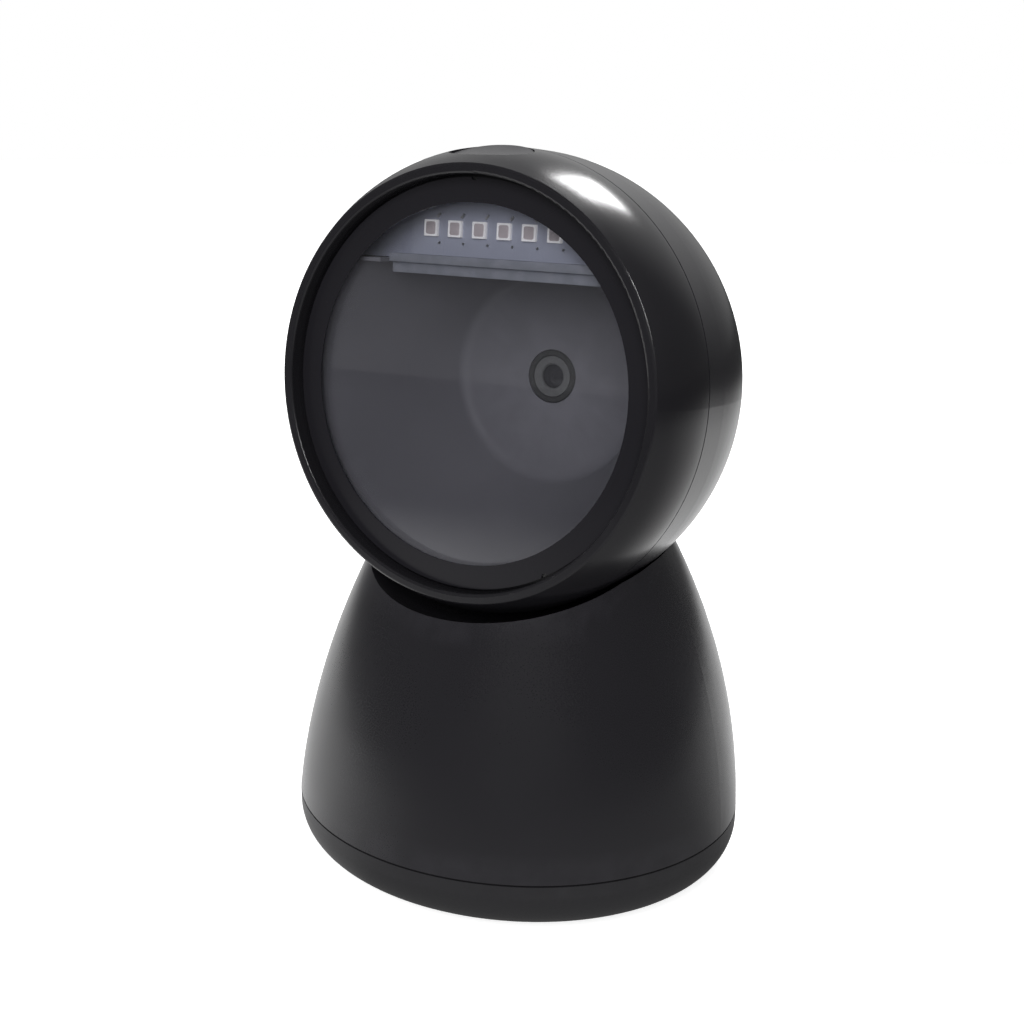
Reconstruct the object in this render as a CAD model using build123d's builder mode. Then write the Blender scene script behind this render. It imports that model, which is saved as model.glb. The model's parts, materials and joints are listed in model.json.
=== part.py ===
from build123d import *
from math import cos, radians, sin, sqrt
import os

# Hands-free desktop barcode scanner: a ball-shaped reading head, cut off flat at its front window,
# sits in the ball-shaped saddle of a bell-shaped base and tilts about the ball's own cross axis.
# Millimetres. Origin at the centre of the base on the counter, +Z up, the window faces -Y,
# and +X is to the right for someone who faces the window.

# ---- driving dimensions: base ----
HALF_WIDTH = 49.85           # bell half width at the tray seam
DEPTH_RATIO = 0.909          # bell depth over width
SEAM_HEIGHT = 12.6           # tray seam above the counter
TAPER_LINEAR = 0.0012        # share of the half width lost per mm of height
TAPER_SQUARE = 0.000083      # and per mm squared
BELL_HEIGHT = 60.0           # height of the uncut bell above the seam
BELL_LEAN = 3.8              # how far the bell's sections drift rearwards
FOOT_HEIGHT = 0.8            # rubber ring below the tray
WALL = 2.6                   # base wall
SEAM_GAP = 0.36              # visible line between two shells
TRAY_ROUND = 9.3             # rounding between the tray's wall and floor
TRAY_WALL = 2.6
TONGUE = 1.7                 # thickness of the locating lips
FIT = 0.1                    # clearance between fixed pieces that slide together
CLEAR = 0.05                 # radial clearance of every screw and pin
RUN = 0.05                   # running clearance of the friction pair
TINY_SCREW_R = 0.6           # shank radii of the screws
SMALL_SCREW_R = 0.8
SCREW_R = 1.0
TRAY_SCREW_R = 1.15

# ---- driving dimensions: head ----
TILT_Y = -2.0                # tilt axis, behind the base centre line
TILT_Z = 104.6
REST_PITCH = 5.3             # the window looks up by this much at rest
TILT_DOWN = 8.0
TILT_UP = 20.0
BALL_R = 47.2
HEAD_WALL = 2.0
RIM_Z = 22.0                 # front rim plane, from the tilt axis along the head's own axis
RIM_R = 43.0                 # rim outer radius
BORE_R = 41.1                # rim inner radius
HEAD_SEAM_Z = 7.3            # seam between front housing and rear cover
SEAT_Z = 16.7                # window seat
SEAT_R = 38.9
SEAT_THICK = 1.1
BOSS_RING_R = 41.2           # pitch radius of the head screws
CLEAR_R = 35.83              # clear part of the window
MASK_R = 40.57               # outside of the black border
MASK_FRONT = 18.72

# ---- saddle ----
SADDLE_R = (47.5, 47.75, 47.6)         # three balls whose union lets the front rim swing
SADDLE_SHIFT = (0.0, 4.0, 9.8)         # how far each lies ahead of the tilt axis

# ---- friction neck ----
STEM_LEAN = 10.0             # the neck leans rearwards below the tilt axis
TRACK_IN = 39.4              # arc rail inside the rear cover, radii about the tilt axis
TRACK_OUT = 41.8
TRACK_HALF_WIDTH = 20.0
STEM_R = 5.0
NECK_R = 3.6
STEM_BORE_R = 2.4
STEM_SHOULDER = 43.4         # distances below the tilt axis
STEM_TOP = 34.2
FLANGE_TOP = 54.5
FLANGE_R = 11.0
FLANGE_THICK = 2.5

# ---- optics ----
FLOOR_Z = -16.5              # floor of the black funnel
FLOOR_R = 22.5
MOUTH_Z = 15.4
MOUTH_R = 36.8
SHROUD_WALL = 1.2
ROOF_V = 24.0                # flat roof of the funnel, above the axis
LED_Z = 11.0                 # front face of the light board
LED_V = 30.5
LED_PITCH = 5.73
LED_COUNT = 6
LED_SIZE = 3.1
BOARD_Z = -26.0              # front face of the decoder board
BOARD_THICK = 1.6

# ---- button ----
BUTTON_TILT = 16.0           # forward of the head's own upright
BUTTON_A = 9.1               # half length across the head
BUTTON_B = 5.45              # half length along the head
BUTTON_TOP = 47.75           # distance of its rim from the tilt axis
BUTTON_THICK = 1.95
BUTTON_TRAVEL = 0.7
BUTTON_STEM_BACK = 2.2       # its stem stands behind the middle

os.makedirs("parts", exist_ok=True)

# ---- reference frames ----
PITCH_COS = cos(radians(REST_PITCH))
PITCH_SIN = sin(radians(REST_PITCH))
TILT = Vector(0, TILT_Y, TILT_Z)
AHEAD = Vector(0, -PITCH_COS, PITCH_SIN)
UPRIGHT = Vector(0, PITCH_SIN, PITCH_COS)
X_DIR = (1, 0, 0)

FACE = Plane(origin=TILT, x_dir=X_DIR, z_dir=AHEAD)             # sketch (across, up), offset = ahead
MERIDIAN = Plane(origin=TILT, x_dir=X_DIR, z_dir=-UPRIGHT)      # sketch (radius, ahead)
SIDE = Plane(origin=TILT, x_dir=AHEAD, z_dir=(-1, 0, 0))        # sketch (ahead, up)
HEAD_AXIS = Axis(TILT, AHEAD)

LEAN_COS = cos(radians(STEM_LEAN))
LEAN_SIN = sin(radians(STEM_LEAN))
STEM_UP = Vector(0, -LEAN_SIN, LEAN_COS)
STEM = Plane(origin=TILT, x_dir=X_DIR, z_dir=STEM_UP)           # offset = above the tilt axis along the neck
STEM_SIDE = Plane(origin=TILT, x_dir=(0, LEAN_COS, LEAN_SIN), z_dir=X_DIR)   # sketch (rearwards, up)

BUTTON_UP = UPRIGHT * cos(radians(BUTTON_TILT)) + AHEAD * sin(radians(BUTTON_TILT))
BUTTON = Plane(origin=TILT, x_dir=X_DIR, z_dir=BUTTON_UP)       # sketch (across, rearwards)


def save(node, name):
    """Labels a finished piece and writes it."""
    node.part.label = name
    export_step(node.part, f"parts/{name}.step")


def sector(plane, inner, outer, start, end):
    """Ring sector between two radii; angles are from straight down, positive ahead."""
    with BuildSketch(plane) as shape:
        with BuildLine():
            far = CenterArc((0, 0), outer, start - 90, end - start)
            near = CenterArc((0, 0), inner, start - 90, end - start)
            Line(far @ 0, near @ 0)
            Line(far @ 1, near @ 1)
        make_face()
    return shape.sketch


def bell_half_width(height):
    return HALF_WIDTH * (1 - TAPER_LINEAR * height - TAPER_SQUARE * height ** 2)


def bell_shift(height):
    return BELL_LEAN * sin(radians(90 * height / BELL_HEIGHT))


def bell_loft(inset, bottom, top):
    """The bell, or its hollow when inset is the wall, between two heights above the seam."""
    levels = [bottom + (top - bottom) * share for share in (0, 0.2, 0.4, 0.6, 0.8, 1.0)]
    with BuildPart() as bell:
        for level in levels:
            across = bell_half_width(level) - inset
            along = bell_half_width(level) * DEPTH_RATIO - inset
            with BuildSketch(Plane((0, bell_shift(level), SEAM_HEIGHT + level))):
                Ellipse(across, along)
        loft()
    return bell.part


def saddle_balls(extra):
    """The three balls of the saddle, grown by extra."""
    with BuildPart() as balls:
        for radius, shift in zip(SADDLE_R, SADDLE_SHIFT):
            with Locations((0, TILT_Y - shift, TILT_Z)):
                Sphere(radius + extra)
    return balls.part


def facing_back(ahead):
    """Plane across the head's axis that looks rearwards; its sketch is (across, down)."""
    return Plane(origin=TILT + AHEAD * ahead, x_dir=X_DIR, z_dir=-AHEAD)


def screws(plane, places, head_r, head_h, shank_r, length):
    """Cross-head screws: each head's underside lies on the plane and its shank runs along the normal."""
    with BuildPart() as group:
        with BuildSketch(plane):
            with Locations(*places):
                Circle(head_r)
        extrude(amount=-head_h)
        crowns = group.faces().sort_by(Axis(plane.origin, plane.z_dir))[: len(places)]
        chamfer(crowns.edges(), head_h * 0.25)
        with BuildSketch(plane):
            with Locations(*places):
                Circle(shank_r)
        extrude(amount=length)
        with BuildSketch(plane.offset(-head_h)):
            with Locations(*places):
                Rectangle(head_r * 1.1, head_r * 0.28)
                Rectangle(head_r * 0.28, head_r * 1.1)
        extrude(amount=head_h * 0.5, mode=Mode.SUBTRACT)
    return group


# ==== head: housings ====
OUTER_ARC = ((BALL_R - RIM_R) ** 2 + (RIM_Z - HEAD_SEAM_Z) ** 2) / (2 * (BALL_R - RIM_R))
INNER_ARC = OUTER_ARC - 2.2
ARC_CENTRE = BALL_R - OUTER_ARC


def outer_r(ahead):
    """Outer radius of the front housing at a distance ahead of the tilt axis."""
    return ARC_CENTRE + sqrt(OUTER_ARC ** 2 - (ahead - HEAD_SEAM_Z) ** 2)


def inner_r(ahead):
    return ARC_CENTRE + sqrt(INNER_ARC ** 2 - (ahead - HEAD_SEAM_Z) ** 2)


SEAT_BACK = SEAT_Z - SEAT_THICK
FRONT_START = HEAD_SEAM_Z + SEAM_GAP / 2
REAR_END = HEAD_SEAM_Z - SEAM_GAP / 2
TONGUE_R = inner_r(FRONT_START) - FIT
TONGUE_END = 9.2
BEAD = 0.35
BEAD_LOW = 8.1
BEAD_HIGH = 8.8
BOSS_START = TONGUE_END + FIT * 2
SHROUD_BOSS_R = 40.6
HEAD_POST_R = 3.0
REAR_POST_R = 3.4
ARM_R = 2.6
BUTTON_FLOOR = BUTTON_TOP - BUTTON_THICK - BUTTON_TRAVEL - 0.05
BUTTON_FLOOR_UNDER = BUTTON_FLOOR - 1.85
BUTTON_STEM_R = 1.85
HEAD_SCREW_ANGLES = (225, 315)
HEAD_SCREW_PLACES = [
    (BOSS_RING_R * cos(radians(a)), BOSS_RING_R * sin(radians(a))) for a in HEAD_SCREW_ANGLES
]
SHROUD_SCREW_PLACES = [(SHROUD_BOSS_R, 0), (-SHROUD_BOSS_R, 0), (0, -SHROUD_BOSS_R)]

with BuildPart() as head_front_housing:
    with BuildSketch(MERIDIAN):
        with BuildLine():
            mid_out = (FRONT_START + RIM_Z) / 2
            mid_in = (FRONT_START + SEAT_BACK) / 2
            ThreePointArc((outer_r(FRONT_START), FRONT_START), (outer_r(mid_out), mid_out), (RIM_R, RIM_Z))
            Line((RIM_R, RIM_Z), (SEAT_R, RIM_Z))
            Line((SEAT_R, RIM_Z), (SEAT_R, SEAT_BACK))
            Line((SEAT_R, SEAT_BACK), (inner_r(SEAT_BACK), SEAT_BACK))
            ThreePointArc((inner_r(SEAT_BACK), SEAT_BACK), (inner_r(mid_in), mid_in),
                          (inner_r(FRONT_START), FRONT_START))
            Line((inner_r(FRONT_START), FRONT_START), (outer_r(FRONT_START), FRONT_START))
        make_face()
    revolve(axis=HEAD_AXIS)
    # groove for the rear cover's snap bead
    with BuildSketch(MERIDIAN):
        with BuildLine():
            Polyline((TONGUE_R - 1, BEAD_LOW - FIT), (TONGUE_R + BEAD + FIT, BEAD_LOW - FIT),
                     (TONGUE_R + BEAD + FIT, BEAD_HIGH + FIT), (TONGUE_R - 1, BEAD_HIGH + FIT),
                     (TONGUE_R - 1, BEAD_LOW - FIT))
        make_face()
    revolve(axis=HEAD_AXIS, mode=Mode.SUBTRACT)
    # pad under the button pocket, kept ahead of the seam
    with BuildSketch(BUTTON.offset(BUTTON_FLOOR_UNDER)):
        Ellipse(BUTTON_A + 1.5, BUTTON_B + 1.5)
    extrude(amount=2.6)
    with BuildSketch(FACE.offset(FRONT_START - 6)):
        Circle(BALL_R + 2)
    extrude(amount=6, mode=Mode.SUBTRACT)
    # bosses for the head screws and for the funnel's screws
    with BuildSketch(FACE.offset(BOSS_START)):
        with Locations(*HEAD_SCREW_PLACES):
            Circle(HEAD_POST_R)
        with Locations(*SHROUD_SCREW_PLACES):
            Circle(ARM_R)
    extrude(amount=SEAT_BACK - BOSS_START + 0.4)
    # window bore and seat
    with BuildSketch(FACE.offset(SEAT_Z)):
        Circle(BORE_R)
    extrude(amount=8, mode=Mode.SUBTRACT)
    with BuildSketch(FACE.offset(SEAT_BACK)):
        Circle(SEAT_R)
    extrude(amount=8, mode=Mode.SUBTRACT)
    with BuildSketch(FACE.offset(BOSS_START)):
        with Locations(*HEAD_SCREW_PLACES):
            Circle(SCREW_R + CLEAR)
        with Locations(*SHROUD_SCREW_PLACES):
            Circle(SMALL_SCREW_R + CLEAR)
    extrude(amount=5.5, mode=Mode.SUBTRACT)
    # button pocket and the hole for its stem
    with BuildSketch(BUTTON.offset(BUTTON_FLOOR)):
        Ellipse(BUTTON_A + 0.15, BUTTON_B + 0.15)
    extrude(amount=6, mode=Mode.SUBTRACT)
    with BuildSketch(BUTTON.offset(BUTTON_FLOOR_UNDER - 1)):
        with Locations((0, BUTTON_STEM_BACK)):
            Circle(BUTTON_STEM_R + 0.1)
    extrude(amount=4, mode=Mode.SUBTRACT)
    rim_edges = head_front_housing.edges().filter_by(GeomType.CIRCLE).filter_by(
        lambda edge: abs((edge.center(CenterOf.BOUNDING_BOX) - TILT).dot(AHEAD) - RIM_Z) < 0.02
    )
    fillet(rim_edges, 0.55)
save(head_front_housing, "head_front_housing")

SCREW_HEAD_Z = -3.0
with BuildPart() as rear_boss_posts:
    with BuildSketch(FACE.offset(-36)):
        with Locations(*HEAD_SCREW_PLACES):
            Circle(REAR_POST_R)
    extrude(amount=TONGUE_END + 36)
    with Locations(TILT):
        Sphere(BALL_R - 0.8, mode=Mode.INTERSECT)

TRACK_FRONT = 4.5
TRACK_BACK = -46.5
STEM_ANGLE = -REST_PITCH - STEM_LEAN
SLOT_FRONT = STEM_ANGLE + TILT_DOWN
SLOT_BACK = STEM_ANGLE - TILT_UP
# moulded arc rail that the friction neck clamps, slotted for the neck
with BuildPart() as arc_rail:
    extrude(sector(SIDE, TRACK_IN, TRACK_OUT, TRACK_BACK, TRACK_FRONT), amount=TRACK_HALF_WIDTH, both=True)
    extrude(sector(SIDE, TRACK_IN - 2, TRACK_OUT + 2, SLOT_BACK - 6.2, SLOT_FRONT + 6.2),
            amount=NECK_R + 0.3, both=True, mode=Mode.SUBTRACT)
    with Locations(TILT):
        Sphere(BALL_R - HEAD_WALL / 2, mode=Mode.INTERSECT)

with BuildPart() as head_rear_cover:
    with BuildSketch(MERIDIAN):
        with BuildLine():
            half = sqrt(0.5)
            inner_ball = BALL_R - HEAD_WALL
            Line((BALL_R, REAR_END), (BALL_R, 0))
            ThreePointArc((BALL_R, 0), (BALL_R * half, -BALL_R * half), (0, -BALL_R))
            Line((0, -BALL_R), (0, -inner_ball))
            ThreePointArc((0, -inner_ball), (inner_ball * half, -inner_ball * half), (inner_ball, 0))
            Line((inner_ball, 0), (inner_ball, 2.0))
            Line((inner_ball, 2.0), (TONGUE_R - TONGUE, 3.8))
            Line((TONGUE_R - TONGUE, 3.8), (TONGUE_R - TONGUE, TONGUE_END))
            Line((TONGUE_R - TONGUE, TONGUE_END), (TONGUE_R, TONGUE_END))
            Line((TONGUE_R, TONGUE_END), (TONGUE_R, BEAD_HIGH))
            # snap bead that holds the two halves along the top
            Line((TONGUE_R, BEAD_HIGH), (TONGUE_R + BEAD, BEAD_HIGH - BEAD / 2))
            Line((TONGUE_R + BEAD, BEAD_HIGH - BEAD / 2), (TONGUE_R + BEAD, BEAD_LOW + BEAD / 2))
            Line((TONGUE_R + BEAD, BEAD_LOW + BEAD / 2), (TONGUE_R, BEAD_LOW))
            Line((TONGUE_R, BEAD_LOW), (TONGUE_R, REAR_END))
            Line((TONGUE_R, REAR_END), (BALL_R, REAR_END))
        make_face()
    revolve(axis=HEAD_AXIS)
    add(rear_boss_posts.part)
    add(arc_rail.part)
    # slot in the wall that passes the neck
    extrude(sector(SIDE, TRACK_OUT + 0.6, BALL_R + 2, SLOT_BACK - 7.4, SLOT_FRONT + 7.4),
            amount=STEM_R + 0.4, both=True, mode=Mode.SUBTRACT)
    # screw holes, entered from behind
    with BuildSketch(FACE.offset(SCREW_HEAD_Z)):
        with Locations(*HEAD_SCREW_PLACES):
            Circle(2.5)
    extrude(amount=-40, mode=Mode.SUBTRACT)
    with BuildSketch(FACE.offset(SCREW_HEAD_Z - 1)):
        with Locations(*HEAD_SCREW_PLACES):
            Circle(SCREW_R + CLEAR)
    extrude(amount=16, mode=Mode.SUBTRACT)
    # notch in the lip that passes the button's stem
    with BuildSketch(FACE.offset(REAR_END)):
        with Locations((0, BALL_R - 3)):
            Rectangle(25, 8.4)
    extrude(amount=4, mode=Mode.SUBTRACT)
    # sound slots over the beeper
    with BuildSketch(FACE.offset(-BALL_R - 2)):
        with GridLocations(2.6, 1, 5, 1):
            SlotOverall(9, 1.1, rotation=90)
    extrude(amount=8, mode=Mode.SUBTRACT)
save(head_rear_cover, "head_rear_cover")

head_screws = screws(FACE.offset(SCREW_HEAD_Z), HEAD_SCREW_PLACES, 2.1, 1.5, SCREW_R, 16.5)
save(head_screws, "head_screws")

# ==== head: window ====
GLASS_THICK = 1.5
MASK_THICK = 0.3
GLASS_FRONT = MASK_FRONT - MASK_THICK
GLASS_BACK = GLASS_FRONT - GLASS_THICK
with BuildPart() as window_glass:
    with BuildSketch(FACE.offset(GLASS_BACK)):
        Circle(MASK_R)
    extrude(amount=GLASS_THICK)
save(window_glass, "window_glass")

NOTCH_ANGLES = (90, -60)
with BuildPart() as window_border:
    with BuildSketch(FACE.offset(GLASS_FRONT)):
        Circle(MASK_R)
        Circle(CLEAR_R, mode=Mode.SUBTRACT)
        for angle in NOTCH_ANGLES:
            with PolarLocations(MASK_R + 0.1, 1, start_angle=angle):
                Circle(0.75, mode=Mode.SUBTRACT)
    extrude(amount=MASK_THICK)
save(window_border, "window_border")

with BuildPart() as window_adhesive_ring:
    with BuildSketch(FACE.offset(SEAT_Z)):
        Circle(MASK_R - 0.2)
        Circle(SEAT_R + 0.2, mode=Mode.SUBTRACT)
    extrude(amount=GLASS_BACK - SEAT_Z)
save(window_adhesive_ring, "window_adhesive_ring")

# ==== head: funnel, light board, lens ====
SHROUD_ARM_Z = 7.6
SHROUD_ARM_THICK = 1.5
ARM_LENGTH = 8.0
ROOF_THICK = 0.8
RIB_BACK = 4.6
RIB_DEPTH = 3.5
POST_R = 2.6
LIP_Z = 16.8
LIP_R = 38.0
BAR_LEFT = -22.8
BAR_RIGHT = 27.6
BAR_TOP = 23.9
BAR_STEP = 21.6
BAR_BOTTOM = 19.4
BAR_BACK = 9.8
BAR_FRONT = 14.0
LENS_R = 5.75
POST_AT = 14.0
LED_RIB_X = 16.2
LED_SCREW_V = 34.9
LED_SCREW_PLACES = [(LED_RIB_X, LED_SCREW_V), (-LED_RIB_X, LED_SCREW_V)]
FLOOR_BACK = FLOOR_Z - SHROUD_WALL

with BuildPart() as shroud_core:
    with BuildSketch(MERIDIAN):
        with BuildLine():
            Polyline((0, FLOOR_Z), (FLOOR_R, FLOOR_Z), (MOUTH_R, MOUTH_Z), (LIP_R, LIP_Z),
                     (LIP_R, LIP_Z + 1), (0, LIP_Z + 1), (0, FLOOR_Z))
        make_face()
    revolve(axis=HEAD_AXIS)
    floor_edge = shroud_core.edges().filter_by(GeomType.CIRCLE).sort_by(SortBy.RADIUS)[0]
    fillet(floor_edge, 3.0)
    split(bisect_by=Plane(origin=TILT + UPRIGHT * (ROOF_V - ROOF_THICK), z_dir=UPRIGHT), keep=Keep.BOTTOM)

with BuildPart() as optic_shroud:
    with BuildSketch(MERIDIAN):
        with BuildLine():
            Polyline((0, FLOOR_BACK), (FLOOR_R + SHROUD_WALL, FLOOR_BACK),
                     (MOUTH_R + SHROUD_WALL, MOUTH_Z), (MOUTH_R + SHROUD_WALL, SEAT_BACK + 0.2),
                     (LIP_R + SHROUD_WALL / 2, LIP_Z), (0, LIP_Z), (0, FLOOR_BACK))
        make_face()
    revolve(axis=HEAD_AXIS)
    # three arms to the front housing's bosses
    with BuildSketch(FACE.offset(SHROUD_ARM_Z)):
        with Locations(*SHROUD_SCREW_PLACES):
            Circle(ARM_R)
        with Locations((SHROUD_BOSS_R - ARM_LENGTH / 2, 0), (ARM_LENGTH / 2 - SHROUD_BOSS_R, 0)):
            Rectangle(ARM_LENGTH, 2 * ARM_R)
        with Locations((0, ARM_LENGTH / 2 - SHROUD_BOSS_R)):
            Rectangle(2 * ARM_R, ARM_LENGTH)
    extrude(amount=SHROUD_ARM_THICK)
    split(bisect_by=Plane(origin=TILT + UPRIGHT * ROOF_V, z_dir=UPRIGHT), keep=Keep.BOTTOM)
    add(shroud_core.part, mode=Mode.SUBTRACT)
    with BuildSketch(FACE.offset(SHROUD_ARM_Z)):
        with Locations(*SHROUD_SCREW_PLACES):
            Circle(SMALL_SCREW_R + CLEAR)
    extrude(amount=SHROUD_ARM_THICK, mode=Mode.SUBTRACT)
    # gap in the roof's front edge for the light bar
    with BuildSketch(FACE.offset(BAR_BACK - FIT)):
        with Locations(((BAR_LEFT + BAR_RIGHT) / 2, (BAR_BOTTOM + ROOF_V) / 2)):
            Rectangle(BAR_RIGHT - BAR_LEFT + 2 * FIT, ROOF_V - BAR_BOTTOM + 2 * FIT)
    extrude(amount=9, mode=Mode.SUBTRACT)
    # ribs that carry the light board
    with BuildSketch(FACE.offset(RIB_BACK)):
        with Locations((LED_RIB_X, 30.2), (-LED_RIB_X, 30.2)):
            Rectangle(3.2, 13.2)
    extrude(amount=RIB_DEPTH)
    # posts for the decoder board, and the hole for the lens
    with BuildSketch(FACE.offset(FLOOR_BACK + 0.3)):
        with GridLocations(2 * POST_AT, 2 * POST_AT, 2, 2):
            Circle(POST_R)
    extrude(amount=BOARD_Z - FLOOR_BACK - 0.3)
    with BuildSketch(FACE.offset(BOARD_Z)):
        with GridLocations(2 * POST_AT, 2 * POST_AT, 2, 2):
            Circle(SMALL_SCREW_R + CLEAR)
    extrude(amount=7, mode=Mode.SUBTRACT)
    with BuildSketch(FACE.offset(FLOOR_Z - 3)):
        Circle(LENS_R + FIT)
    extrude(amount=6, mode=Mode.SUBTRACT)
    with BuildSketch(FACE.offset(RIB_BACK)):
        with Locations(*LED_SCREW_PLACES):
            Circle(TINY_SCREW_R + CLEAR)
    extrude(amount=4, mode=Mode.SUBTRACT)
save(optic_shroud, "optic_shroud")

shroud_screws = screws(FACE.offset(SHROUD_ARM_Z), SHROUD_SCREW_PLACES, 1.5, 1.1, SMALL_SCREW_R, 6.0)
save(shroud_screws, "shroud_screws")

REFLECTOR_BACK = 8.2
LED_BOARD_THICK = 1.2
LED_BOARD_BACK = LED_Z - LED_BOARD_THICK
LED_BAY_V = ROOF_V + 0.15
SWITCH_HALF = 3.1
SWITCH_LOW = 34.8
SWITCH_HIGH = 38.2
with BuildPart() as light_reflector:
    with BuildSketch(FACE.offset(REFLECTOR_BACK)):
        Circle(42.9)
        with Locations((0, LED_BAY_V - 35)):
            Rectangle(90, 70, mode=Mode.SUBTRACT)
        with Locations((0, 42)):
            Rectangle(60, 6.4, mode=Mode.SUBTRACT)
        with Locations((0, SWITCH_LOW + 4.6)):
            Rectangle(2 * SWITCH_HALF + 0.8, 10, mode=Mode.SUBTRACT)
        with Locations(*LED_SCREW_PLACES):
            Circle(TINY_SCREW_R + CLEAR, mode=Mode.SUBTRACT)
    extrude(amount=LED_BOARD_BACK - REFLECTOR_BACK)
save(light_reflector, "light_reflector")

LED_BOARD_LEFT = -19.4
LED_BOARD_RIGHT = 22.0
LED_BOARD_TOP = 37.0
LED_BOARD_CHAMFER = 3.0
with BuildPart() as led_board:
    with BuildSketch(FACE.offset(LED_BOARD_BACK)):
        with BuildLine():
            Polyline((LED_BOARD_LEFT, LED_BAY_V), (LED_BOARD_RIGHT, LED_BAY_V),
                     (LED_BOARD_RIGHT, LED_BOARD_TOP - LED_BOARD_CHAMFER),
                     (LED_BOARD_RIGHT - LED_BOARD_CHAMFER, LED_BOARD_TOP),
                     (LED_BOARD_LEFT + LED_BOARD_CHAMFER, LED_BOARD_TOP),
                     (LED_BOARD_LEFT, LED_BOARD_TOP - LED_BOARD_CHAMFER), (LED_BOARD_LEFT, LED_BAY_V))
        make_face()
        with Locations(*LED_SCREW_PLACES):
            Circle(TINY_SCREW_R + CLEAR, mode=Mode.SUBTRACT)
    extrude(amount=LED_BOARD_THICK)
save(led_board, "led_board")

led_screws = screws(facing_back(LED_Z), [(x, -v) for x, v in LED_SCREW_PLACES], 1.05, 0.8, TINY_SCREW_R, 6.0)
save(led_screws, "led_screws")

LED_THICK = 0.9
with BuildPart() as illumination_leds:
    with BuildSketch(FACE.offset(LED_Z)):
        with Locations((0, LED_V)):
            with GridLocations(LED_PITCH, 1, LED_COUNT, 1):
                Rectangle(LED_SIZE, LED_SIZE + 0.2)
    extrude(amount=LED_THICK)
    with BuildSketch(FACE.offset(LED_Z + LED_THICK)):
        with Locations((0, LED_V)):
            with GridLocations(LED_PITCH, 1, LED_COUNT, 1):
                Circle(1.1)
    extrude(amount=-0.4, mode=Mode.SUBTRACT)
save(illumination_leds, "illumination_leds")

with BuildPart() as led_resistors:
    with BuildSketch(FACE.offset(LED_Z)):
        with Locations((1.5, LED_V + 2.6)):
            with GridLocations(LED_PITCH, 1, LED_COUNT, 1):
                Rectangle(1.0, 0.5, rotation=50)
        with Locations((1.75, LED_V - 2.9)):
            with GridLocations(LED_PITCH, 1, LED_COUNT, 1):
                Circle(0.3)
    extrude(amount=0.35)
save(led_resistors, "led_resistors")

with BuildPart() as light_bar:
    with BuildSketch(SIDE.offset(-BAR_LEFT)):
        with BuildLine():
            Polyline((BAR_BACK, BAR_BOTTOM), (BAR_BACK, BAR_TOP), (BAR_FRONT, BAR_TOP),
                     (BAR_FRONT, BAR_STEP), (BAR_FRONT - 1.4, BAR_STEP - 0.2),
                     (BAR_FRONT - 1.4, BAR_BOTTOM), (BAR_BACK, BAR_BOTTOM))
        make_face()
    extrude(amount=BAR_LEFT - BAR_RIGHT)
save(light_bar, "light_bar")

LENS_FRONT = FLOOR_Z + 0.2
BARREL_BACK = -25.0
RETAINER_R = 4.4
RETAINER_BORE = 2.6
LENS_DOME = 0.5
PUPIL_R = 1.1
with BuildPart() as lens_barrel:
    with BuildSketch(MERIDIAN):
        with BuildLine():
            Polyline((RETAINER_R + FIT / 2, BARREL_BACK), (LENS_R, BARREL_BACK), (LENS_R, LENS_FRONT - 0.3),
                     (LENS_R - 0.3, LENS_FRONT), (RETAINER_R + 0.3, LENS_FRONT),
                     (RETAINER_R + FIT / 2, LENS_FRONT - 0.3), (RETAINER_R + FIT / 2, BARREL_BACK))
        make_face()
    revolve(axis=HEAD_AXIS)
save(lens_barrel, "lens_barrel")

RETAINER_FRONT = LENS_FRONT - 0.25
RETAINER_BACK = RETAINER_FRONT - 0.8
with BuildPart() as lens_retainer:
    with BuildSketch(MERIDIAN):
        with BuildLine():
            Polyline((RETAINER_BORE, RETAINER_FRONT - 0.3), (RETAINER_BORE, RETAINER_BACK),
                     (RETAINER_R, RETAINER_BACK), (RETAINER_R, RETAINER_FRONT),
                     (RETAINER_BORE + 0.3, RETAINER_FRONT), (RETAINER_BORE, RETAINER_FRONT - 0.3))
        make_face()
    revolve(axis=HEAD_AXIS)
save(lens_retainer, "lens_retainer")

LENS_BACK = RETAINER_BACK - 1.0
DOME_R = RETAINER_BORE - CLEAR
with BuildPart() as front_lens:
    with BuildSketch(MERIDIAN):
        with BuildLine():
            ThreePointArc((0, RETAINER_BACK + LENS_DOME), (DOME_R / 2, RETAINER_BACK + 0.76 * LENS_DOME),
                          (DOME_R, RETAINER_BACK))
            Line((DOME_R, RETAINER_BACK), (RETAINER_R, RETAINER_BACK))
            Line((RETAINER_R, RETAINER_BACK), (RETAINER_R, LENS_BACK))
            Line((RETAINER_R, LENS_BACK), (0, LENS_BACK))
            Line((0, LENS_BACK), (0, RETAINER_BACK + LENS_DOME))
        make_face()
    revolve(axis=HEAD_AXIS)
save(front_lens, "front_lens")

with BuildPart() as lens_aperture:
    with BuildSketch(FACE.offset(LENS_BACK - 0.4)):
        Circle(RETAINER_R)
        Circle(PUPIL_R, mode=Mode.SUBTRACT)
    extrude(amount=0.4)
save(lens_aperture, "lens_aperture")

HOLDER_FRONT = FLOOR_BACK - FIT
SENSOR_THICK = 1.1
with BuildPart() as lens_holder:
    with BuildSketch(FACE.offset(BOARD_Z)):
        RectangleRounded(14, 14, 1.5)
    extrude(amount=HOLDER_FRONT - BOARD_Z)
    with BuildSketch(FACE.offset(BOARD_Z)):
        Circle(LENS_R + CLEAR)
    extrude(amount=HOLDER_FRONT - BOARD_Z, mode=Mode.SUBTRACT)
    with BuildSketch(FACE.offset(BOARD_Z)):
        Rectangle(9, 9)
    extrude(amount=SENSOR_THICK + 0.5, mode=Mode.SUBTRACT)
save(lens_holder, "lens_holder")

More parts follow.
